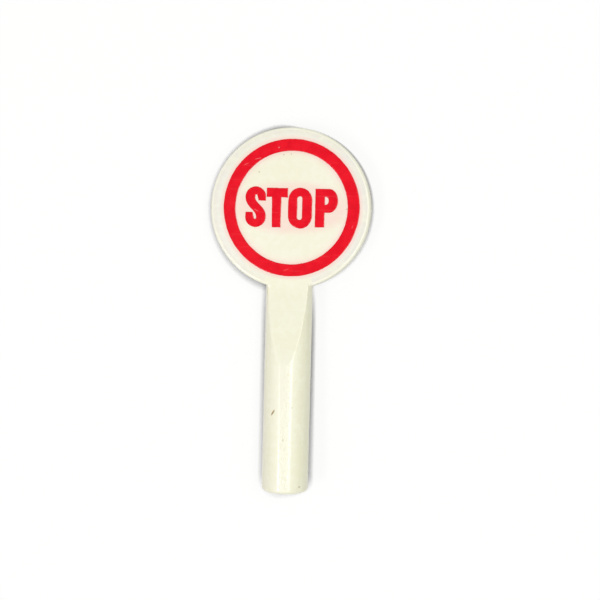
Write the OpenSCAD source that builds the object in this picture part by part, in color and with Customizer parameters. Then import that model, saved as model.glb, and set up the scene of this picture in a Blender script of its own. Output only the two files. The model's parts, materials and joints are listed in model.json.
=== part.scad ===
// A miniature hand-held stop paddle, as toy figures carry: a flat round head with a
// printed ring and a round grip, moulded in one piece. It lies on its back, face up,
// as it comes to rest: on the end of its grip's ramps and on the far edge of its head.
// Millimetres. X runs across the head, Y along the grip towards the head, Z is up.

/* [Head] */
// Diameter of the round head, at the parting line halfway through it
head_d = 11; // [9:0.1:14]
// Thickness of the head, face to back
head_t = 1.6; // [1.2:0.1:2.4]
// Rounding of the head's front and back edges
head_edge_r = 0.2; // [0.1:0.05:0.35]
// Draft of the head's edge on each side of the parting line, in degrees
head_draft = 2; // [0:0.5:4]

/* [Handle] */
// Diameter of the grip, the round bar that a figure's hand clips onto
grip_d = 3.2; // [3:0.05:3.6]
// Length of the grip that is fully round, from its free end
grip_len = 8.8; // [6:0.1:12]
// Length of the two ramps that thin the round grip down to the head's thickness
ramp_len = 5.1; // [3:0.1:8]
// Length of the level neck between the ramps and the head, along the middle
neck_len = 0.1; // [0.1:0.1:3]
// Rounding of the grip's free end
grip_end_r = 0.28; // [0.1:0.02:0.6]

/* [Gate mark] */
// Diameter of the stub that is left where the plastic entered the mould
gate_d = 0.42; // [0.2:0.02:0.6]
// How far the stub stands out of the grip's end
gate_proud = 0.05; // [0.02:0.01:0.2]

/* [Print] */
// Bare border between the head's rim and the printed ring
border_w = 0.84; // [0.5:0.02:1.2]
// Width of the printed ring
ring_w = 0.82; // [0.3:0.01:1.5]
// Thickness of the ink
ink_t = 0.03; // [0.02:0.01:0.1]
// How far the print sits to the right of the head's centre
print_dx = 0.1; // [-0.2:0.01:0.2]
// How far the print sits towards the grip from the head's centre
print_dy = -0.02; // [-0.2:0.01:0.2]

/* [Hidden] */

head_r = head_d / 2;
grip_r = grip_d / 2;
face_z = head_t / 2;

// Places along the handle, measured from the grip's free end
neck_y = grip_len + ramp_len;
head_y = neck_y + neck_len + head_r;

// The head's edge drafts both ways from the parting line. The circle that rounds it is
// tangent to the face and to the drafted edge
rim_x = head_r - face_z * tan(head_draft);
round_z = face_z - head_edge_r;
round_x = head_r - round_z * tan(head_draft) - head_edge_r / cos(head_draft);

// The rounding stops just short of the grip's sides, so that face and neck are one flat
neck_half_w = sqrt(pow(grip_r, 2) - pow(round_z, 2));
round_stop = asin((neck_half_w + head_edge_r / 10) / round_x);

// The paddle rests on a line through the end of the back ramp that touches the
// rounded far edge of the head's back
rest_run = head_y + round_x - grip_len;
rest_rise = grip_r - round_z;
rest_tilt = atan2(rest_rise, rest_run) - asin(head_edge_r / norm([rest_run, rest_rise]));
rest_lift = grip_len * sin(rest_tilt) + grip_r * cos(rest_tilt);

// Reach of the tilted paddle along Y, which puts the origin under the middle of it
end_reach = grip_end_r * cos(rest_tilt) - (grip_r - grip_end_r) * sin(rest_tilt) - grip_end_r;
gate_reach = -gate_proud * cos(rest_tilt) - gate_d / 2 * sin(rest_tilt);
head_reach = (head_y + head_r) * cos(rest_tilt);
rest_y = (min(end_reach, gate_reach) + head_reach) / 2;

// How far the bar runs on inside the head
bar_root = head_r / 2;
bar_len = neck_y + neck_len + bar_root;

// Lays what is drawn along Y, level and centred on the grip's axis, down on its back
module laid_down() {
    translate([0, -rest_y, rest_lift])
        rotate([-rest_tilt, 0, 0])
            children();
}

// Plain disc of the head, with its drafted edge still sharp
module head_disc() {
    rotate_extrude($fn = 180)
        polygon([
            [0, -face_z], [rim_x, -face_z],
            [head_r, 0],
            [rim_x, face_z], [0, face_z],
        ]);
}

// What the rounding takes off the disc's front edge, all round but for the neck
module edge_rounding() {
    clear = 2 * head_edge_r;
    rotate([0, 0, round_stop - 90])
        rotate_extrude(angle = 360 - 2 * round_stop, $fn = 180)
            difference() {
                translate([round_x, round_z])
                    square(clear);
                translate([round_x, round_z])
                    circle(r = head_edge_r, $fn = 48);
            }
}

// Half section of the round bar, with its free end rounded
module bar_section() {
    translate([0, grip_end_r])
        square([grip_r, bar_len - grip_end_r]);
    square([grip_r - grip_end_r, bar_len]);
    translate([grip_r - grip_end_r, grip_end_r])
        circle(r = grip_end_r, $fn = 48);
}

// What is cut off the front of the bar: level with the face over the neck, then a
// ramp that runs out into the round grip
module ramp_cut() {
    clear = grip_d;
    ramp_rise = (grip_r - face_z) / ramp_len;
    rotate([90, 0, 90])
        linear_extrude(grip_d + clear, center = true)
            polygon([
                [neck_y, face_z],
                [bar_len + clear, face_z],
                [bar_len + clear, grip_r + clear],
                [grip_len - clear, grip_r + clear],
                [grip_len - clear, grip_r + clear * ramp_rise],
            ]);
}

module bar() {
    difference() {
        rotate([-90, 90, 0])
            rotate_extrude($fn = 128)
                bar_section();
        ramp_cut();
        mirror([0, 0, 1])
            ramp_cut();
    }
}

// Stub of the gate, on the parting line beside the middle of the grip's end
module gate_stub() {
    translate([grip_r - grip_end_r, -gate_proud, 0])
        rotate([-90, 0, 0])
            cylinder(d = gate_d, h = 2 * grip_end_r + gate_proud, $fn = 32);
}

// The whole moulding, one piece of plastic
module paddle() {
    color([0.965, 0.955, 0.865])
        laid_down()
            difference() {
                union() {
                    translate([0, head_y, 0])
                        head_disc();
                    bar();
                    gate_stub();
                }
                for (back = [0, 1])
                    mirror([0, 0, back])
                        translate([0, head_y, 0])
                            edge_rounding();
            }
}

// The red ring, a film of ink on the face
module ring_print() {
    ring_r = head_r - border_w;
    color([0.93, 0.1, 0.16])
        laid_down()
            translate([print_dx, head_y - print_dy, face_z])
                linear_extrude(ink_t)
                    difference() {
                        circle(r = ring_r, $fn = 180);
                        circle(r = ring_r - ring_w, $fn = 180);
                    }
}

paddle();
ring_print();
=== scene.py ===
# %% [markdown]
# A toy stop paddle, dressed for the camera.
#
# The object is a paddle that a toy figure holds up in the road: a round head and a round
# grip, moulded in one piece of cream plastic, with a red ring and a red word printed on
# its face. It is 25 mm long. The construction model gives its size and how it lies. This
# script makes the surfaces that are seen: the rounded edges, the mould's parting line, the
# ink, the yellowed plastic and its marks. It works in metres, as the model does, and it
# starts by loading that model, because everything later is measured against it.

# %% Load the frame
import functools
import json
import math

import bmesh
import bpy
from mathutils import Matrix, Vector, noise


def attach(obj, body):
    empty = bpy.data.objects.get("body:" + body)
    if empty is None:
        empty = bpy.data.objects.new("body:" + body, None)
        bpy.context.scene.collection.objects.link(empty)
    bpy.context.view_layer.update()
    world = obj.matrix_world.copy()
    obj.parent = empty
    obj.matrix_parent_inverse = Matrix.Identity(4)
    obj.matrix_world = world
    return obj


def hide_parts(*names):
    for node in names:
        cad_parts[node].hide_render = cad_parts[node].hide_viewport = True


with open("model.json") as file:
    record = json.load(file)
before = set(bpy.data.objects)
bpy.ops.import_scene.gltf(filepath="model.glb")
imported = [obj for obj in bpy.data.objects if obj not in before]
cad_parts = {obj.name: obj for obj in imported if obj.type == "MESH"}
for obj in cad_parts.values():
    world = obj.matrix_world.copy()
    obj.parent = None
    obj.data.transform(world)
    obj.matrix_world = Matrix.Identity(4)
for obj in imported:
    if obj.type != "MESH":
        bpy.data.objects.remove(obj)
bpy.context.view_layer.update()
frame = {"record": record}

# %% [markdown]
# The paddle's own axes.
#
# The paddle lies on its back and is tilted by a few degrees, because its grip is thicker
# than its head. Shaping it in that tilted place would be awkward. It is far easier to draw
# it level, with the grip's free end at zero and the face looking up, and to tip each
# finished mesh into place at the end. The record says where the grip's axis runs, so the
# tipping matrix is built from that and not typed in.

# %% Lay the level paddle down
MM = 0.001
grip_mount = next(m for m in frame["record"]["mounts"] if m["name"] == "handle_grip")
GRIP_END_R = 0.28 * MM

along = -Vector(grip_mount["axis"]).normalized()
across = Vector((1, 0, 0))
LAY = Matrix.Identity(4)
for column, direction in enumerate((across, along, across.cross(along))):
    for row in range(3):
        LAY[row][column] = direction[row]
LAY.translation = Vector(grip_mount["pos_m"]) - along * GRIP_END_R
print("the paddle is tipped by", round(math.degrees(math.acos(along.y)), 2), "degrees")

# %% [markdown]
# The sizes of the real piece.
#
# These are the same few sizes that the construction model is driven by, in metres. Lengths
# along the grip are measured from its free end. The grip's radius comes from the record. The
# crests are the edges where the ramps meet the round bar. The left one is worn rounder. Two
# points that are nearer than SAME count as one.

# %% Name the sizes
GRIP_R = grip_mount["dims"]["r_mm"] * MM
GRIP_LEN = 8.8 * MM
NECK_Y = GRIP_LEN + 5.1 * MM
NECK_LEN = 0.1 * MM
HEAD_R = 5.5 * MM
HEAD_Y = NECK_Y + NECK_LEN + HEAD_R
FACE_Z = 0.8 * MM
HEAD_EDGE_R = 0.2 * MM
HEAD_DRAFT = math.radians(2)
CREST_R = 0.05 * MM
WORN_CREST_R = 0.16 * MM
PARTING_H = 0.015 * MM
PARTING_W = 0.05 * MM
SAME = 0.001 * MM
print("the head's centre is", round(HEAD_Y / MM, 2), "mm from the grip's end")

# %% [markdown]
# The camera.
#
# The photograph was taken from close above, slightly from the right: the head's right wall
# just shows. The lens and the place were worked out from the ring, the rim and the grip's
# outline, so the render can be laid over the photograph. Blender's camera looks along its
# own -Z, so three small turns from straight down are all that it needs.

# %% Place the camera
camera_data = bpy.data.cameras.new("camera")
camera_data.lens = 63.85
camera_data.sensor_width = 36
camera_data.clip_start = 5 * MM
camera_data.clip_end = 2000 * MM
camera = bpy.data.objects.new("camera", camera_data)
bpy.context.scene.collection.objects.link(camera)
camera.location = Vector((9.743, 7.290, 73.802)) * MM
camera.rotation_euler = [math.radians(turn) for turn in (-4.981, 7.166, 1.032)]
bpy.context.scene.camera = camera
print("the camera is", round(camera.location.length / MM), "mm away")

# %% [markdown]
# A few helpers for meshes.
#
# Every piece here starts as a bmesh, Blender's editable mesh. Two things happen to each in
# the end: it becomes an object with smooth shading, and it is tipped into its place. The
# normals are weighted by face area, so the large flats stay flat and only the narrow
# rounded edges carry the turn of the light. The bevel is given all its settings, because
# its defaults in a script differ from the editor's.

# %% Turn a bmesh into a piece
def round_edges(bm, edges, radius, segments):
    bmesh.ops.bevel(bm, geom=edges, offset=radius, segments=segments, affect="EDGES", profile=0.5,
                    material=-1)


def as_object(bm, name):
    mesh = bpy.data.meshes.new(name)
    bm.to_mesh(mesh)
    bm.free()
    piece = bpy.data.objects.new(name, mesh)
    bpy.context.scene.collection.objects.link(piece)
    return piece


def finish_piece(piece, node, material, sharp=math.radians(40)):
    """Tips a level piece into place, shades it and hangs it on the frame."""
    piece.data.transform(LAY)
    piece.data.update()
    piece.data.shade_smooth()
    piece.data.set_sharp_from_angle(angle=sharp)
    weigh = piece.modifiers.new("even flats", "WEIGHTED_NORMAL")
    weigh.keep_sharp = True
    piece.data.materials.clear()
    piece.data.materials.append(material)
    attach(piece, "root")
    if node:
        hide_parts(node)
    print(piece.name, "has", len(piece.data.polygons), "faces")


print("pieces will be tipped by the matrix", [[round(v, 3) for v in row[:3]] for row in LAY])

# %% [markdown]
# The head.
#
# A round disc with a slight draft on both sides of the line where the two halves of the
# mould met. Half of its section, seen from the side, has only a few corners, so the disc is
# that section spun round the axis. Spinning first and rounding the two rims afterwards
# with a bevel keeps the section simple. The parting line is a hair-fine ridge: one more
# corner, between two others, that stands out a little.

# %% Spin the head
HEAD_STEPS = 288


def is_on_rim(point):
    from_axis = (point.xy - Vector((0, HEAD_Y))).length
    return abs(abs(point.z) - FACE_Z) < SAME and from_axis > HEAD_R / 2


def make_head():
    bm = bmesh.new()
    wall_x = HEAD_R - FACE_Z * math.tan(HEAD_DRAFT)
    ridge_x = HEAD_R - PARTING_W * math.tan(HEAD_DRAFT)
    section = [(0, -FACE_Z), (wall_x, -FACE_Z), (ridge_x, -PARTING_W), (HEAD_R + PARTING_H, 0),
               (ridge_x, PARTING_W), (wall_x, FACE_Z), (0, FACE_Z)]
    points = [bm.verts.new((x, HEAD_Y, z)) for x, z in section]
    edges = [bm.edges.new(pair) for pair in zip(points, points[1:])]
    bmesh.ops.spin(bm, geom=points + edges, cent=(0, HEAD_Y, 0), axis=(0, 0, 1),
                   angle=math.tau, steps=HEAD_STEPS, use_merge=True)
    bmesh.ops.remove_doubles(bm, verts=bm.verts, dist=SAME)
    rims = [e for e in bm.edges if all(is_on_rim(v.co) for v in e.verts)]
    round_edges(bm, rims, HEAD_EDGE_R, 8)
    bmesh.ops.recalc_face_normals(bm, faces=bm.faces)
    return bm


head = as_object(make_head(), "head_form")
print("the head has", len(head.data.polygons), "faces")

# %% [markdown]
# The grip and its ramps.
#
# The grip is a round bar. A moulder thins it to the head's thickness with one sloping flat
# in front and one behind. A slope that cuts a round bar leaves the long pointed tongue
# that the photograph shows. The quickest true way is the machinist's way: start from a
# cylinder and slice it with planes. Above the neck the slice is level, below it the slice
# is the ramp. The slices leave holes, which are filled as flat faces, and their long
# edges are then rounded a little, because no moulded edge is quite sharp.

# %% Slice the bar
BAR_STEPS = 256
BAR_LEN = NECK_Y + 3.5 * MM
BEND_STEPS = 6
BEND_HALF = 0.3 * MM


def flat_line():
    """The flat seen from the side, as (y, z): down the ramp, round a soft bend and past the neck."""
    slope = (GRIP_R - FACE_Z) / (NECK_Y - GRIP_LEN)
    line = [(0, FACE_Z + slope * NECK_Y)]
    for i in range(BEND_STEPS + 1):
        t = i / BEND_STEPS
        line.append((NECK_Y + (2 * t - 1) * BEND_HALF, FACE_Z + slope * BEND_HALF * (1 - t) ** 2))
    return line + [(BAR_LEN + MM, FACE_Z)]


def make_bar():
    bm = bmesh.new()
    turn = Matrix.Rotation(math.radians(-90), 4, "X")
    place = Matrix.Translation((0, BAR_LEN / 2, 0)) @ turn
    bmesh.ops.create_cone(bm, cap_ends=True, segments=BAR_STEPS, radius1=GRIP_R, radius2=GRIP_R,
                          depth=BAR_LEN, matrix=place)
    for v in bm.verts:
        if abs(v.co.z) < SAME:
            v.co.x += math.copysign(PARTING_H, v.co.x)
    end = [e for e in bm.edges if all(v.co.y < SAME for v in e.verts)]
    round_edges(bm, end, GRIP_END_R, 10)
    for y, _ in flat_line()[1:-1]:
        everything = [*bm.faces, *bm.edges, *bm.verts]
        bmesh.ops.bisect_plane(bm, geom=everything, dist=SAME / 10, plane_co=(0, y, 0), plane_no=(0, 1, 0))
    return bm


def slice_flats(bm):
    """Cuts both flats, strip by strip, and closes the cuts. Returns the faces that close them."""
    line = flat_line()
    strips = list(zip(line, line[1:]))
    for side in (1, -1):
        for (y, z), (next_y, next_z) in strips:
            strip = [f for f in bm.faces if y < f.calc_center_median().y < next_y]
            edges, corners = {e for f in strip for e in f.edges}, {v for f in strip for v in f.verts}
            outwards = Vector((0, z - next_z, side * (next_y - y))).normalized()
            bmesh.ops.bisect_plane(bm, geom=[*strip, *edges, *corners], dist=SAME / 10,
                                   plane_co=(0, y, side * z), plane_no=outwards)
    beyond = []
    for f in bm.faces:
        middle = f.calc_center_median()
        beyond += [f for (y, z), (next_y, next_z) in strips if y < middle.y < next_y
                   and abs(middle.z) > z + (next_z - z) * (middle.y - y) / (next_y - y)]
    bmesh.ops.delete(bm, geom=beyond, context="FACES")
    return [f for side in (1, -1) for f in close_cut(bm, strips, side)]


def close_cut(bm, strips, side):
    """Spans the cut with a bridge at each bend line and fills the strips between them."""
    rim = [e for e in bm.edges if e.is_boundary and e.verts[0].co.z * side > 0]
    corners = {v for e in rim for v in e.verts}
    bridges = {}
    for (y, z), _ in strips[1:]:
        ends = [v for v in corners if (v.co.yz - Vector((y, side * z))).length < SAME]
        bridges[y] = bm.edges.new(ends)
    filled = []
    for (y, _), (next_y, _) in strips:
        loop = [e for e in rim if y < sum(v.co.y for v in e.verts) / 2 < next_y]
        loop += [bridges[at] for at in (y, next_y) if at in bridges]
        filled += bmesh.ops.edgeloop_fill(bm, edges=loop)["faces"]
    return filled


def round_crests(bm, flats):
    """Rounds the long edges where the flats meet the round bar, but not near the tongue's tip."""
    crests = {e for f in flats for e in f.edges if not all(g in flats for g in e.link_faces)}
    crests = [e for e in crests if max(v.co.y for v in e.verts) < BAR_LEN - SAME]
    for side, radius, start in ((1, CREST_R, 0.12 * MM), (-1, WORN_CREST_R, 0.3 * MM)):
        chosen = [e for e in crests if e.is_valid and min(side * v.co.x for v in e.verts) > start]
        round_edges(bm, chosen, radius, 4)
    return len(crests)


bar_mesh = make_bar()
flats = slice_flats(bar_mesh)
bmesh.ops.recalc_face_normals(bar_mesh, faces=bar_mesh.faces)
print("the flats have", len(flats), "faces")
rounded = round_crests(bar_mesh, flats)
open_edges = sum(e.is_boundary for e in bar_mesh.edges)
print("the bar has", len(bar_mesh.faces), "faces,", open_edges, "open edges,", rounded, "crest edges")
bar = as_object(bar_mesh, "bar_form")

# %% [markdown]
# The gate stub.
#
# Plastic enters the mould through a small opening, and where the part is broken off its
# runner a rough stub stays behind. The photograph shows it at the lower right corner of
# the grip. It is a short tapered plug, a little crooked, and half sunk into the rounded end.

# %% Make the stub
STUB_R = 0.21 * MM
STUB_PROUD = 0.03 * MM
STUB_SLANT = 0.15


def make_stub():
    bm = bmesh.new()
    length, middle_x = 2 * GRIP_END_R + STUB_PROUD, GRIP_R - GRIP_END_R
    turn = Matrix.Rotation(math.radians(90), 4, "X")
    place = Matrix.Translation((middle_x, length / 2 - STUB_PROUD, 0)) @ turn
    bmesh.ops.create_cone(bm, cap_ends=True, segments=48, radius1=STUB_R, radius2=0.85 * STUB_R,
                          depth=length, matrix=place)
    tip = [v for v in bm.verts if v.co.y < 0]
    for v in tip:
        roughness = 0.25 * STUB_PROUD * noise.noise(v.co / (0.15 * MM))
        v.co.y += roughness + STUB_SLANT * (v.co.x - middle_x)
    end = [e for e in bm.edges if all(v in tip for v in e.verts)]
    round_edges(bm, end, 0.2 * STUB_R, 3)
    return bm


stub = as_object(make_stub(), "stub_form")
print("the stub stands", round(-min(v.co.y for v in stub.data.vertices) / MM, 3), "mm out of the end")

# %% [markdown]
# One moulding.
#
# In the mould, head, bar and stub fill with the same plastic, so they are one skin and not
# three pieces that overlap. A Boolean union with the exact solver joins them. It also
# copes with the head's face and the neck's flat lying in one plane. The result of the
# modifiers is written back as a plain mesh, and the three forms are thrown away.

# %% Join the forms
def join_forms(base, others, name):
    for other in others:
        union = base.modifiers.new("join " + other.name, "BOOLEAN")
        union.operation = "UNION"
        union.solver = "EXACT"
        union.object = other
    ready = base.evaluated_get(bpy.context.evaluated_depsgraph_get())
    mesh = bpy.data.meshes.new_from_object(ready)
    mesh.name = name
    for form in [base, *others]:
        bpy.data.objects.remove(form)
    piece = bpy.data.objects.new(name, mesh)
    bpy.context.scene.collection.objects.link(piece)
    return piece


moulding = join_forms(head, [bar, stub], "moulded_paddle")
check = bmesh.new()
check.from_mesh(moulding.data)
open_edges = sum(not e.is_manifold for e in check.edges)
print("the moulding has", len(check.faces), "faces and", open_edges, "open edges")
check.free()

# %% [markdown]
# Ink that was really printed.
#
# The ring and the word are films of ink, pressed onto the face by a soft pad. Such a film
# is only a few hundredths of a millimetre thick, but it has a rounded border, and its
# outline is never quite clean. So each shape starts as an outline of points, the points
# are moved a little by a smooth noise, the inside is filled, and the fill is extruded by
# the ink's thickness. A narrow inset then lets the border fall away. The inset also marks
# the inner vertices, and the ink's colour reads that mark later, because the real print is
# a touch darker along its edges. Blender's vector noise starts from the clock unless it is
# given a seed, so it gets one here, and every run presses the same outlines.

# %% Press a shape in ink
INK_T = 0.03 * MM
INK_BORDER = 0.045 * MM
POINT_STEP = 0.06 * MM
EDGE_WOBBLE = 0.022 * MM
WOBBLE_SEED = 5
PRINT_AT = Vector((0.1 * MM, HEAD_Y + 0.02 * MM, FACE_Z))
noise.seed_set(WOBBLE_SEED)


def even_points(outline, step=POINT_STEP):
    """Puts points along a closed outline at an even distance."""
    points = []
    for start, stop in zip(outline, outline[1:] + outline[:1]):
        count = max(1, round((stop - start).length / step))
        points += [start.lerp(stop, i / count) for i in range(count)]
    return points


def wobble(point):
    """The small error of a printed edge: slow waves and a finer roughness."""
    slow = noise.noise_vector(Vector((point.x, point.y, 0)) / (0.55 * MM))
    fine = noise.noise_vector(Vector((point.x, point.y, MM)) / (0.16 * MM))
    return point + (0.6 * slow.xy + 0.4 * fine.xy) * EDGE_WOBBLE


def press_ink(outlines, name, at=PRINT_AT):
    """Makes a film of ink from closed outlines: the first ones outside, the holes inside them."""
    bm = bmesh.new()
    for outline in outlines:
        points = [bm.verts.new((*(wobble(p) + at.xy), at.z)) for p in even_points(outline)]
        for pair in zip(points, points[1:] + points[:1]):
            bm.edges.new(pair)
    bmesh.ops.triangle_fill(bm, edges=bm.edges, use_beauty=True, normal=(0, 0, 1))
    raised = bmesh.ops.extrude_face_region(bm, geom=bm.faces, use_keep_orig=True)["geom"]
    top = [g for g in raised if isinstance(g, bmesh.types.BMFace)]
    top_corners = [g for g in raised if isinstance(g, bmesh.types.BMVert)]
    bmesh.ops.translate(bm, verts=top_corners, vec=(0, 0, 0.6 * INK_T))
    bmesh.ops.inset_region(bm, faces=top, thickness=INK_BORDER, depth=0, use_even_offset=True,
                           use_boundary=True)
    body = bm.verts.layers.float.new("ink body")
    for v in {v for f in top for v in f.verts}:
        v.co.z = at.z + INK_T
        v[body] = 1
    bmesh.ops.recalc_face_normals(bm, faces=bm.faces)
    return as_object(bm, name)


def arc(centre, radii, start, stop, count=24):
    """Points along part of an ellipse, between two angles in degrees."""
    angles = [math.radians(start + (stop - start) * i / count) for i in range(count + 1)]
    (x, y), (width, height) = centre, radii
    return [Vector((x + width * math.cos(a), y + height * math.sin(a))) for a in angles]


print("the print's middle is", round(PRINT_AT.x / MM, 2), "mm to the right of the head's")

# %% [markdown]
# The ring.
#
# Two circles make it, one inside the other. It doesn't sit quite in the middle of the head:
# the print slipped by about a tenth of a millimetre, and the photograph shows that. The
# construction model has the same ring with clean edges, and this piece stands for it.

# %% Print the ring
RING_R = HEAD_R - 0.84 * MM
RING_W = 0.81 * MM


def circle(radius):
    return arc((0, 0), (radius, radius), 0, 360, 360)[:-1]


ring = press_ink([circle(RING_R), circle(RING_R - RING_W)], "ring_ink")
print("the ring has", len(ring.data.polygons), "faces")

# %% [markdown]
# The word.
#
# A stop paddle says STOP, as a switch says ON and OFF. The letters are drawn here as plain
# narrow block letters, from straight lines and parts of ellipses, in the size and the
# weight that the print has. T is one outline, O is a long ring, P is a stem with a bowl and
# a small eye. S is drawn as one half and turned by half a turn for the other, because an
# even S looks the same upside down. The print isn't quite even: the two ends of S differ,
# T's stem stands a little to the left, and the letters' feet don't line up.

# %% Draw the letters
CAP = 1.33 * MM
ROUND_OVER = 0.05 * MM


def turned(points):
    return [-p for p in points]


def bezier(a, b, c, d, count=16):
    """Points along a smooth curve from a to d, pulled towards b and then c."""
    a, b, c, d = (Vector(p) for p in (a, b, c, d))
    return [a * (1 - t) ** 3 + b * 3 * t * (1 - t) ** 2 + c * 3 * t * t * (1 - t) + d * t ** 3
            for t in (i / count for i in range(count + 1))]


def half_s(width, end_y, other_end_y):
    """From the upper end of S over its crown and down its back into the slit of the lower bowl."""
    half, top = width / 2, CAP + ROUND_OVER
    bowl_y = 0.5 * top
    slit_x, tip_x = 0.05 * MM, 0.2 * MM
    end = Vector((half - 0.02 * MM, end_y))
    crown = arc((0, bowl_y), (half, top - bowl_y), 0, 180, 32)
    into_slit = (slit_x, 0.02 * MM - bowl_y)
    back = bezier((-half, bowl_y), (-half, -0.08 * MM), (slit_x, -0.2 * MM), into_slit)
    slit = arc((-0.03 * MM, -bowl_y - 0.02 * MM), (slit_x + 0.03 * MM, 0.13 * MM), 0, -150, 8)
    return [end, *crown, *back[1:], *slit[1:], Vector((-tip_x, -other_end_y))]


def letter_s(width):
    upper, lower = 0.43 * MM, 0.36 * MM
    up = Vector((0, 0.045 * MM))
    return [[p + up for p in half_s(width, upper, lower) + turned(half_s(width, lower, upper))]]


def letter_t(width):
    half, top, bar = width / 2, CAP + 0.02 * MM, CAP - 0.6 * MM
    left, right = -0.37 * MM, 0.28 * MM
    corners = [(-half, top), (-half, bar), (left, bar), (left + 0.03 * MM, -CAP),
               (right - 0.02 * MM, -CAP), (right, bar), (half, bar - 0.03 * MM), (half, top)]
    return [[Vector(c) for c in corners]]


def letter_o(width):
    half, top = width / 2, CAP + ROUND_OVER
    eye_x, eye_w, eye_h = -0.03 * MM, 0.165 * MM, 0.8 * MM
    outside = arc((0, top - 0.85 * MM), (half, 0.85 * MM), 0, 180)
    outside += arc((0, 0.85 * MM - top), (half, 0.85 * MM), 180, 360)
    eye = arc((eye_x, eye_h - eye_w), (eye_w, eye_w), 0, 180, 12)
    eye += arc((eye_x, eye_w - eye_h), (eye_w, eye_w), 180, 360, 12)
    return [outside, eye]


def letter_p(width):
    left, right, foot = -width / 2, width / 2, -CAP + 0.05 * MM
    stem = left + 0.65 * MM
    bowl_y, bowl_h = 0.52 * MM, CAP - 0.52 * MM
    turn_x = right - 0.62 * MM
    outside = [Vector(c) for c in ((left, CAP), (left, foot), (stem, foot), (stem, bowl_y - bowl_h))]
    outside += arc((turn_x, bowl_y), (right - turn_x, bowl_h), -90, 90)
    eye_x, eye_w, eye_h = stem + 0.01 * MM, 0.23 * MM, 0.27 * MM
    eye = [Vector((eye_x, bowl_y + eye_h)), Vector((eye_x, bowl_y - eye_h))]
    eye += arc((eye_x + 0.02 * MM, bowl_y), (eye_w, eye_h), -80, 80, 12)
    return [outside, eye]


print("the letters are", round(2 * CAP / MM, 2), "mm high")

# %% [markdown]
# Setting the word.
#
# Each letter has its own width and its own place along the line. The word's middle is a
# hair to the right of the ring's.

# %% Print the word
# name, drawing, middle and width in millimetres
WORD = [("letter_s", letter_s, -2.49, 1.42), ("letter_t", letter_t, -1.01, 1.45),
        ("letter_o", letter_o, 0.57, 1.64), ("letter_p", letter_p, 2.37, 1.55)]
WORD_AT = PRINT_AT + Vector((0.04, -0.02, 0)) * MM

letters = []
for name, draw, middle, width in WORD:
    outlines = [[p + Vector((middle * MM, 0)) for p in outline] for outline in draw(width * MM)]
    letters.append(press_ink(outlines, name, WORD_AT))
print("the letters have", [len(piece.data.polygons) for piece in letters], "faces")

# %% [markdown]
# Sums between sockets.
#
# A material is a net of nodes, and most of a worn surface is arithmetic: how far a point is
# from a speck, how much of a stain shows there. Written as nodes, each plus sign is a box
# and two wires. The small class below wraps one socket, so that such arithmetic can be
# written as plain sums, and each sign makes its own Math node. Every other kind of node
# comes from one method, which takes the node's type, its settings and its sockets. It gives
# back the node's outputs in their order, so the places of the less plain ones are named.

# %% Write materials as sums
GENERATED, OBJECT = 0, 3  # outputs of Texture Coordinate
TO_CAMERA, GLOSSY, THROUGH = 0, 3, 6  # outputs of Light Path
FACTOR = 2  # output of Attribute
MIX_FIRST, MIX_SECOND, MIX_RESULT = 6, 7, 2  # a Mix node's places for colours


class Value:
    """One socket of a material's nodes, which can be used in sums."""

    def __init__(self, bench, socket):
        self.bench, self.socket = bench, socket

    def math(self, operation, *values):
        return self.bench.node("ShaderNodeMath", {"operation": operation}, dict(enumerate(values)))[0]

    def __add__(self, other):
        return self.math("ADD", self, other)

    def __radd__(self, other):
        return self.math("ADD", other, self)

    def __sub__(self, other):
        return self.math("SUBTRACT", self, other)

    def __rsub__(self, other):
        return self.math("SUBTRACT", other, self)

    def __mul__(self, other):
        return self.math("MULTIPLY", self, other)

    def __rmul__(self, other):
        return self.math("MULTIPLY", other, self)

    def __truediv__(self, other):
        return self.math("DIVIDE", self, other)

    def __pow__(self, other):
        return self.math("POWER", self, other)

    def most(self, other):
        """The larger of the two."""
        return self.math("MAXIMUM", self, other)

    def size(self):
        """The value without its sign."""
        return self.math("ABSOLUTE", self)

    def fade(self, start, stop):
        """0 at start and 1 at stop, with a soft slope between them."""
        settings = {"interpolation_type": "SMOOTHSTEP"}
        sockets = {"Value": self, "From Min": start, "From Max": stop}
        return self.bench.node("ShaderNodeMapRange", settings, sockets)[0]


class Bench:
    """Makes the nodes of a material or of the sky, and joins them."""

    def __init__(self, owner, end):
        owner.use_nodes = True
        self.owner, self.tree = owner, owner.node_tree
        self.end = self.tree.nodes[end]

    def node(self, kind, settings=None, sockets=None):
        """Adds a node and returns its outputs. A socket is named by its name or its place."""
        node = self.tree.nodes.new(kind)
        for key, value in (settings or {}).items():
            setattr(node, key, value)
        for key, value in (sockets or {}).items():
            self.feed(node.inputs[key], value)
        return [Value(self, output) for output in node.outputs]

    def feed(self, socket, value):
        if isinstance(value, Value):
            self.tree.links.new(value.socket, socket)
        else:
            socket.default_value = value

    def mix(self, factor, first, second):
        """A colour between two, by a factor from 0 to 1."""
        sockets = {"Factor": factor, MIX_FIRST: first, MIX_SECOND: second}
        return self.node("ShaderNodeMix", {"data_type": "RGBA"}, sockets)[MIX_RESULT]

    def noise(self, at, scale, detail=2.0, rough=0.5):
        sockets = {"Vector": at, "Scale": scale, "Detail": detail, "Roughness": rough}
        return self.node("ShaderNodeTexNoise", None, sockets)[0]

    def split(self, vector):
        """The three parts of a vector."""
        return self.node("ShaderNodeSeparateXYZ", None, {"Vector": vector})

    def bump(self, strength, depth, height):
        """The normal over small bumps."""
        sockets = {"Strength": strength, "Distance": depth, "Height": height}
        return self.node("ShaderNodeBump", None, sockets)[0]

    def finish(self, **sockets):
        """Sets the last node's own sockets. An underscore in a name stands for a space."""
        for key, value in sockets.items():
            self.feed(self.end.inputs[key.replace("_", " ")], value)
        return self.owner


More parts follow.
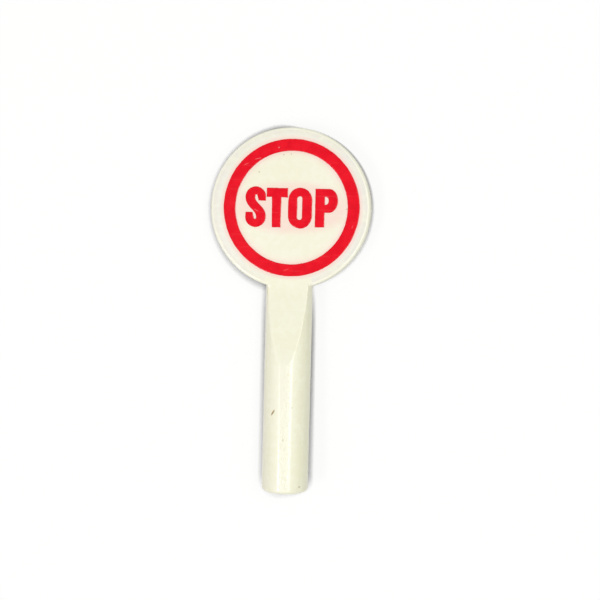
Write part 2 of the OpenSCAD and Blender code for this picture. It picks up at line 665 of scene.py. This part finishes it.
def level_place(bench):
    """Where a point is on the level paddle, in millimetres: as a vector, and as x, y and z."""
    back = LAY.inverted()
    sockets = {"Vector": bench.node("ShaderNodeTexCoord")[OBJECT], "Scale": (1 / MM,) * 3,
               "Rotation": back.to_euler(), "Location": back.translation / MM}
    place = bench.node("ShaderNodeMapping", {"vector_type": "POINT"}, sockets)[0]
    return place, bench.split(place)


print("sums on sockets make Math nodes")

# %% [markdown]
# Old cream plastic.
#
# The real piece was moulded nearly white and has yellowed with the years. The middle of the
# face and the grip are the warmest. The border of the head is painted a cooler grey, a
# painted reflection. The skin is still glossy, with the faint ripple of moulded plastic and
# with fine scratches, most of them on the crown of the grip where hands have rubbed. The
# crown is also painted paler, a painted sheen. Colours are given here as they look on a
# screen, and are turned into the light values that the shader wants.

# %% Mark the surface
def paint(red, green, blue):
    """A screen colour, 0 to 255, as the linear colour of a socket."""
    steps = [c / 255 for c in (red, green, blue)]
    return (*(c / 12.92 if c <= 0.04045 else ((c + 0.055) / 1.055) ** 2.4 for c in steps), 1.0)


def spot(place, x, y, length, width, lean, strength):
    """A soft oval mark, strong at its middle and 0 away from it, in millimetres and degrees."""
    settings = {"vector_type": "TEXTURE"}
    sockets = {"Vector": place, "Location": (x, y, 0), "Rotation": (0, 0, math.radians(lean)),
               "Scale": (length / 2, width / 2, 1000)}
    local = place.bench.node("ShaderNodeMapping", settings, sockets)[0]
    far = place.bench.node("ShaderNodeVectorMath", {"operation": "LENGTH"}, {0: local})[1]
    return far.fade(1.2, 0.6) * strength


def marks(place, rows):
    """All the marks of a list in one value."""
    spots = [spot(place, *row) for row in rows]
    return functools.reduce(Value.most, spots)


def hairs(place, lean):
    """Long fine scratches, all leaning one way: a noise that is stretched a lot."""
    sockets = {"Vector": place, "Rotation": (0, 0, math.radians(lean)), "Scale": (0.3, 7.0, 1.0)}
    long = place.bench.node("ShaderNodeMapping", None, sockets)[0]
    return place.bench.noise(long, 1.0, 2.0).fade(0.6, 0.72)


# x, y, length and width in millimetres, lean in degrees, strength
SPECKS = [(-2.16, 21.92, 0.13, 0.1, 30, 0.5), (-0.49, 23.1, 0.12, 0.09, 0, 0.45),
          (0.02, 23.15, 0.11, 0.08, 0, 0.45), (3.89, 19.49, 0.12, 0.1, 0, 0.5),
          (-0.745, 5.58, 0.5, 0.12, 60, 0.95), (1.135, 0.51, 0.15, 0.12, 0, 0.5),
          (0.01, 3.75, 0.2, 0.12, 80, 0.35), (0.54, 5.96, 0.14, 0.09, 0, 0.35),
          (0.9, 15.75, 0.1, 0.09, 0, 0.4)]
SCRATCHES = [(5.13, 19.45, 0.8, 0.035, 85, 0.7), (5.04, 19.6, 0.5, 0.03, 78, 0.6),
             (3.93, 15.96, 0.5, 0.04, 40, 0.6), (-0.86, 5.85, 0.3, 0.16, 60, 0.6),
             (2.5, 17.1, 0.7, 0.03, 35, 0.4), (-0.5, 12.3, 0.9, 0.03, 70, 0.3)]
PALE_INK = [(-0.83, 23.58, 0.14, 0.08, 20, 0.6), (-2.26, 22.82, 0.5, 0.055, 15, 0.4),
            (-3.05, 22.44, 0.4, 0.055, 25, 0.35), (-2.31, 19.32, 0.34, 0.055, -30, 0.4),
            (-0.15, 15.3, 0.45, 0.04, 20, 0.3), (4.3, 18.3, 0.3, 0.04, 70, 0.3)]
print(len(SPECKS), "specks,", len(SCRATCHES), "scratches and", len(PALE_INK), "pale marks in the ink")

# %% [markdown]
# Layers of cream.
#
# The colour is built up in layers, as a painter glazes: a cream ground, bands towards the
# head's rim, yellow clouds, a pale grain, and pink where the old red ink has bled into the
# plastic around it. The bands are painted light: a cool painted reflection on the border,
# painted shade before the rim's edge, a painted highlight on the rim's rounding and painted
# shade on the wall below it. They stop where the handle meets the head. The crown of the
# grip is painted paler, a painted sheen, and it is pitted. The bumps use the same values, so
# a pit is dark and deep in the same place.

# %% Mix the plastic
CREAM = paint(247, 244, 227)
CREAM_PALE = paint(250, 249, 234)
CREAM_YELLOW = paint(243, 242, 214)
CREAM_GRIP = paint(244, 243, 224)
# The next four colours paint light on the head: a cool painted reflection on its border, painted shade
# before the rim's edge, a pale for scratches that also paints the highlight on the rim's rounding, and
# painted shade on the wall.
BORDER_REFLECTION_GREY = paint(240, 238, 234)
SCRATCH_AND_HIGHLIGHT_PALE = paint(253, 252, 240)
RIM_SHADE = paint(235, 230, 223)
WALL_SHADE = paint(234, 230, 208)
PINK_BLEED = paint(252, 210, 206)
DUSTY = paint(238, 232, 204)
DIRT = paint(160, 138, 92)
# The bands are painted light, from the border out to the wall.
# tone, where it starts and is full from the head's centre in millimetres, strength
HEAD_BANDS = [(BORDER_REFLECTION_GREY, 4.4, 5.0, 1.0), (RIM_SHADE, 5.0, 5.15, 0.6),
              (SCRATCH_AND_HIGHLIGHT_PALE, 5.27, 5.35, 1.0), (WALL_SHADE, 5.44, 5.49, 1.0)]


def near_ink(x, y):
    """How close a point is to the print, 0 to 1, for the pink that old ink leaves around it."""
    across, up = x - PRINT_AT.x / MM, y - PRINT_AT.y / MM
    from_middle = (across ** 2.0 + up ** 2.0) ** 0.5
    around_ring = (from_middle - (RING_R - RING_W / 2) / MM).size().fade(0.75, 0.4)
    inside_ring = from_middle.fade(3.2, 3.9) * from_middle.fade(4.6, 4.3)
    around_word = ((across / 4.1) ** 2.0 + (up / 1.7) ** 2.0).fade(1.4, 0.6)
    return around_ring.most(around_word * 0.8).most(inside_ring * 0.4)


def make_plastic():
    bench = Bench(bpy.data.materials.new("cream plastic"), "Principled BSDF")
    place, (x, y, z) = level_place(bench)
    front = z.fade(-0.1, 0.3)
    from_head = (x ** 2.0 + (y - HEAD_Y / MM) ** 2.0) ** 0.5
    on_grip = y.fade(14.5, 12.0)
    beside_handle = 1 - y.fade(15.0, 14.6) * x.size().fade(1.66, 1.56)
    off_middle = (x - 0.1).size()
    crown = y.fade(9.6, 8.4) * y.fade(0.1, 0.4) * off_middle.fade(0.56, 0.42) * front
    cloud = bench.noise(place, 0.45, 4.0, 0.6).fade(0.35, 0.65)
    grain = bench.noise(place, 2.2, 5.0, 0.65).fade(0.42, 0.68)
    fine = bench.noise(place, 5.5, 3.0)
    pits = bench.noise(place, 4.2, 3.0, 0.7).fade(0.5, 0.62) * crown * off_middle.fade(0.42, 0.24)
    scratched = hairs(place, 50) * 0.3 + marks(place, SCRATCHES) * front
    colour = CREAM
    # Painted reflection, shade and highlight, in bands round the head's rim.
    for tone, start, full, strength in HEAD_BANDS:
        colour = bench.mix(from_head.fade(start, full) * beside_handle * strength, colour, tone)
    colour = bench.mix(on_grip, colour, CREAM_GRIP)
    colour = bench.mix(cloud * 0.4, colour, CREAM_YELLOW)
    colour = bench.mix(grain * 0.5, colour, CREAM_PALE)
    # Painted sheen: the top of the grip, between the lamps' two strips, is made paler.
    colour = bench.mix(crown * 0.7, colour, CREAM_PALE)
    colour = bench.mix(near_ink(x, y) * front * 0.65, colour, PINK_BLEED)
    colour = bench.mix(pits * 0.3, colour, DUSTY)
    # Scratches wear paler, in the same pale that paints the rim's highlight.
    colour = bench.mix(scratched * 0.5, colour, SCRATCH_AND_HIGHLIGHT_PALE)
    colour = bench.mix(marks(place, SPECKS) * front, colour, DIRT)
    rough = 0.18 + (fine - 0.5) * 0.1 + scratched * 0.1
    height = fine * (0.25 + 0.4 * crown) - pits * 0.9 - scratched * 0.3
    bumps = bench.bump(0.4, 0.02 * MM, height)
    return bench.finish(Base_Color=colour, Roughness=rough, Normal=bumps, IOR=1.53)


plastic = make_plastic()
print("the plastic has", len(plastic.node_tree.nodes), "nodes")

# %% [markdown]
# Red ink.
#
# Opaque and a little less glossy than the plastic. Its red is uneven, lighter where the pad
# left less of it, and darker along the border.

# %% Mix the ink
INK_RED = paint(239, 17, 39)
INK_DEEP = paint(230, 7, 33)
INK_EDGE = paint(200, 6, 30)
INK_DARK = paint(208, 4, 32)
INK_PALE = paint(250, 150, 150)


def make_ink():
    bench = Bench(bpy.data.materials.new("red ink"), "Principled BSDF")
    place, _ = level_place(bench)
    body = bench.node("ShaderNodeAttribute", {"attribute_name": "ink body"})[FACTOR]
    cloud = bench.noise(place, 1.6, 5.0, 0.6).fade(0.38, 0.62)
    fine = bench.noise(place, 4.0, 3.0)
    thin = marks(place, PALE_INK) + hairs(place, 25) * 0.05
    colour = bench.mix(cloud, INK_RED, INK_DEEP)
    colour = bench.mix(body.fade(0.0, 1.0), INK_EDGE, colour)
    colour = bench.mix(fine.fade(0.55, 0.7) * 0.35, colour, INK_DARK)
    colour = bench.mix(thin, colour, INK_PALE)
    rough = 0.2 + (fine - 0.5) * 0.1 + thin * 0.2
    height = fine - thin * 2.0
    bumps = bench.bump(0.3, 0.01 * MM, height)
    return bench.finish(Base_Color=colour, Roughness=rough, Normal=bumps, IOR=1.5, Specular_IOR_Level=0.3)


ink = make_ink()
print("the ink has", len(ink.node_tree.nodes), "nodes")

# %% [markdown]
# Dressing.
#
# Each finished mesh is tipped into place, gets its material and takes its node's place. The
# letters stand for no node: the construction model leaves the word to this script. The ink's
# sloping border is kept as a crease, so that its flat top stays flat in the light.

# %% Dress the pieces
INK_CREASE = math.radians(12)

finish_piece(moulding, "paddle", plastic)
finish_piece(ring, "ring_print", ink, sharp=INK_CREASE)
for piece in letters:
    finish_piece(piece, None, ink, sharp=INK_CREASE)

# %% [markdown]
# The table.
#
# The photograph has a pure white ground. A floor that is really that bright would light the
# paddle from below and wash out its sides. So the floor shows white to the camera and to
# reflections, and is a plain mid grey for the light that bounces off it. It still takes the
# paddle's shadow, and a thin dark line shows where the gap under the paddle shuts out the
# sky. An Ambient Occlusion node finds it: it tells how free a point is of things nearer than
# a given reach. The reach grows towards the grip's free end, which stands higher off the
# table, and to the left, where the wall hides more of the floor from the camera.

# %% Lay the floor
FLOOR_HALF = 1500 * MM
FLOOR_GLOW = 0.85
REACH_RIGHT, REACH_LEFT, REACH_RISE = 0.66 * MM, 1.0 * MM, 0.036
LINE_FROM, LINE_TO = 0.83, 0.69
WHITE, BLACK = (1, 1, 1, 1), (0, 0, 0, 1)
LINE_GREY = (0.02, 0.02, 0.02, 1)
BOUNCE_GREY = (0.42, 0.41, 0.37, 1)


def make_floor():
    bm = bmesh.new()
    bmesh.ops.create_grid(bm, x_segments=1, y_segments=1, size=FLOOR_HALF)
    floor = as_object(bm, "floor")
    bench = Bench(bpy.data.materials.new("white table"), "Material Output")
    rays = bench.node("ShaderNodeLightPath")
    seen = rays[TO_CAMERA].most(rays[GLOSSY]).most(rays[THROUGH])
    x, y, _ = bench.split(bench.node("ShaderNodeTexCoord")[OBJECT])
    reach = REACH_RIGHT + (REACH_LEFT - REACH_RIGHT) * (x / MM).fade(1.0, -1.5) - REACH_RISE * y
    open_sky = bench.node("ShaderNodeAmbientOcclusion", {"samples": 4}, {"Distance": reach})[1]
    lined = bench.mix(open_sky.fade(LINE_TO, LINE_FROM), LINE_GREY, WHITE)
    colour = bench.mix(seen, BOUNCE_GREY, lined)
    glow = bench.mix(seen, BLACK, lined)
    paper = bench.node("ShaderNodeBsdfDiffuse", None, {"Color": colour})[0]
    shine = bench.node("ShaderNodeEmission", None, {"Color": glow, "Strength": 1.0})[0]
    both = bench.node("ShaderNodeMixShader", None, {0: FLOOR_GLOW * seen, 1: paper, 2: shine})[0]
    floor.data.materials.append(bench.finish(Surface=both))


make_floor()
print("the floor is laid")

# %% [markdown]
# The light.
#
# Two long soft lamps stand to the left and the right, above the table. They are what draws
# the two bright strips along the round grip, and each strip's place says where its lamp
# was: a polished bar shows a lamp at the slope halfway between the lamp and the eye. The
# left lamp ends above the grip, so the ramp's left edge doesn't catch it. The rest is a
# plain sky, brighter overhead than at the sides, a little warm on the left and a
# little green on the right. Where the face would mirror it, the sky is dimmer, as it is
# where a photographer stands.

# %% Hang the lamps
LAMP_H = 150 * MM


def hang_lamp(name, lean, spread, reach, brightness, colour):
    """A long lamp at an angle to the right of straight up. Both angles are in degrees."""
    lean, spread = math.radians(lean), math.radians(spread)
    start, stop = (y * MM for y in reach)
    lamp = bpy.data.lights.new(name, "AREA")
    lamp.shape = "RECTANGLE"
    lamp.size, lamp.size_y = 2 * math.tan(spread / 2) * LAMP_H / math.cos(lean), stop - start
    lamp.energy, lamp.color = brightness * math.pi * lamp.size * lamp.size_y, colour
    holder = bpy.data.objects.new(name, lamp)
    bpy.context.scene.collection.objects.link(holder)
    holder.location = (LAMP_H * math.tan(lean), (start + stop) / 2, LAMP_H)
    holder.rotation_euler = (0, lean, 0)


hang_lamp("left_lamp", -24, 8, (-85, -1), 11.0, (1.0, 0.99, 0.97))
hang_lamp("right_lamp", 22.5, 10, (-55, 75), 6.0, (0.98, 1.0, 0.97))
print("two lamps hang", round(LAMP_H / MM), "mm above the table")

# %% [markdown]
# The sky.
#
# It fills in from all sides. Its brightness depends on how high one looks, and its tint on
# the side. The camera itself sees plain white behind the table's edge.

# %% Draw the sky
MIRRORED = Vector((-0.13, 0.15, 0.98)).normalized()
LEFT_TINT, RIGHT_TINT = (1.0, 0.91, 0.8, 1), (0.97, 0.97, 0.7, 1)
LOWEST, HIGHER, SIDE_GLOW, MIRROR_DIM = 0.39, 0.32, 0.08, 0.5


def make_sky():
    bench = Bench(bpy.data.worlds.new("sky"), "World Output")
    bpy.context.scene.world = bench.owner
    x, y, z = bench.split(bench.node("ShaderNodeTexCoord")[GENERATED])
    towards = x * MIRRORED.x + y * MIRRORED.y + z * MIRRORED.z
    sides = bench.mix(x.fade(-0.6, 0.6), LEFT_TINT, RIGHT_TINT)
    colour = bench.mix(z.fade(0.0, 0.95), sides, WHITE)
    strength = LOWEST + HIGHER * z.fade(0.0, 0.8) + SIDE_GLOW * (x.fade(0.3, -0.7) + x.fade(0.0, 0.6))
    strength = strength - MIRROR_DIM * towards.fade(0.88, 0.98)
    seen = bench.node("ShaderNodeLightPath")[TO_CAMERA]
    light = bench.node("ShaderNodeBackground", None, {"Color": colour, "Strength": strength})[0]
    backdrop = bench.node("ShaderNodeBackground", None, {"Color": WHITE, "Strength": 1.0})[0]
    bench.finish(Surface=bench.node("ShaderNodeMixShader", None, {0: seen, 1: light, 2: backdrop})[0])


make_sky()
bpy.context.scene.view_settings.view_transform = "Standard"
print("the sky is drawn")
